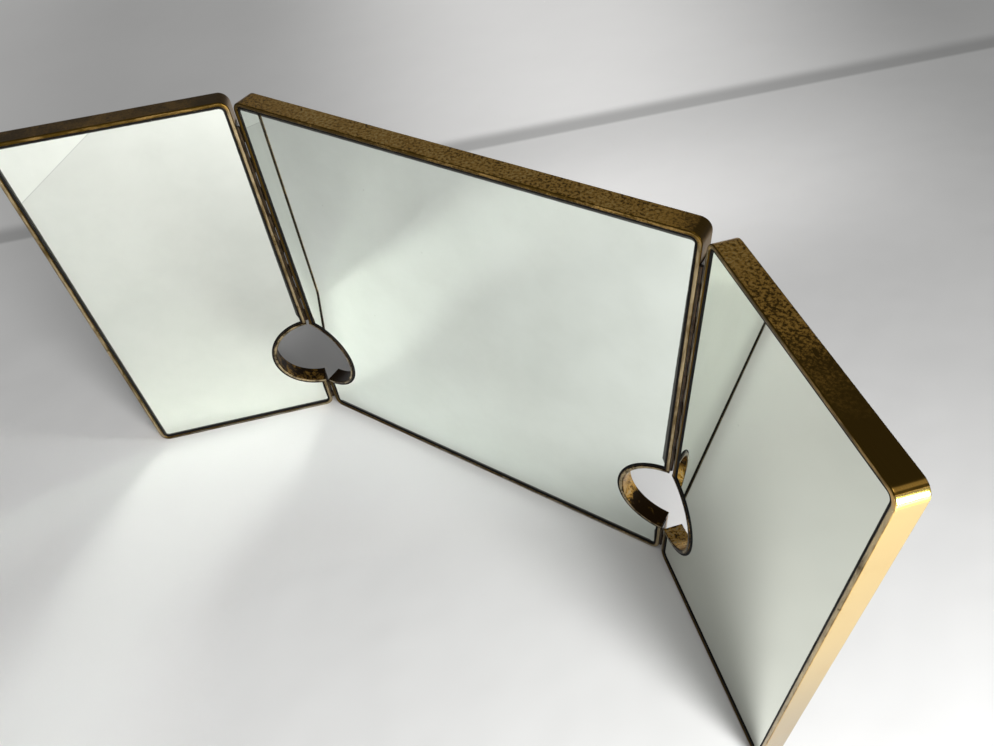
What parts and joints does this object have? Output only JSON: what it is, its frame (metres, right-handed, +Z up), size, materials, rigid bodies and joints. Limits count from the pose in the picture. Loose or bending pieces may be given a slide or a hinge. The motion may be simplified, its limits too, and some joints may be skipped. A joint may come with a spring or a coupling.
{
  "type": "trifold vanity mirror",
  "caption": "Free-standing folding vanity mirror: a wide middle panel in a flat brass frame, a narrow hinged wing at each side, and a round hole cut out on each hinge line.",
  "frame": {"origin": "middle of the middle panel's bottom face, half way between its front and back", "axes": "+X along the middle panel to its right seen from the front, +Y from its front to its back, +Z up"},
  "size_m": [0.4676, 0.1022, 0.25],
  "materials": {
    "bar": "flat bar with a dark brown patina, worn golden in patches",
    "hole_bar": "flat bar, lighter patina with golden patches",
    "bead": "black, matt",
    "mirror": "polished silvered glass",
    "board": "brown fibreboard",
    "lugs": "plain sawn brass",
    "cover": "black grained leathercloth on stiff board",
    "hinge": "dark patina",
    "pin": "drawn wire, dull",
    "screws": "turned brass, dull"
  },
  "bodies": {
    "middle_panel": {"middle_upper_band": "bar", "middle_lower_band": "bar", "middle_left_hole_band": "hole_bar", "middle_right_hole_band": "hole_bar", "middle_glazing_bead": "bead", "middle_mirror_glass": "mirror", "middle_backing_board": "board", "middle_cover_lugs": "lugs", "middle_back_cover": "cover", "middle_cover_screws": "screws", "left_upper_hinge_middle_leaf": "hinge", "left_upper_hinge_pin": "pin", "left_lower_hinge_middle_leaf": "hinge", "left_lower_hinge_pin": "pin", "left_hinge_middle_rivets": "screws", "right_upper_hinge_middle_leaf": "hinge", "right_upper_hinge_pin": "pin", "right_lower_hinge_middle_leaf": "hinge", "right_lower_hinge_pin": "pin", "right_hinge_middle_rivets": "screws"},
    "left_wing": {"left_band": "bar", "left_hole_band": "hole_bar", "left_glazing_bead": "bead", "left_mirror_glass": "mirror", "left_backing_board": "board", "left_cover_lugs": "lugs", "left_back_cover": "cover", "left_cover_screws": "screws", "left_upper_hinge_wing_leaf": "hinge", "left_lower_hinge_wing_leaf": "hinge", "left_hinge_wing_rivets": "screws"},
    "right_wing": {"right_band": "bar", "right_hole_band": "hole_bar", "right_glazing_bead": "bead", "right_mirror_glass": "mirror", "right_backing_board": "board", "right_cover_lugs": "lugs", "right_back_cover": "cover", "right_cover_screws": "screws", "right_upper_hinge_wing_leaf": "hinge", "right_lower_hinge_wing_leaf": "hinge", "right_hinge_wing_rivets": "screws"}
  },
  "joints": [
    {"name": "left_hinge", "type": "hinge", "parent": "middle_panel", "child": "left_wing", "pos_m": [-0.132, -0.00625, 0.125], "axis": [0, 0, 1], "range_deg": [-44, 136]},
    {"name": "right_hinge", "type": "hinge", "parent": "middle_panel", "child": "right_wing", "pos_m": [0.132, -0.00625, 0.125], "axis": [0, 0, -1], "range_deg": [-44, 136]}
  ]
}
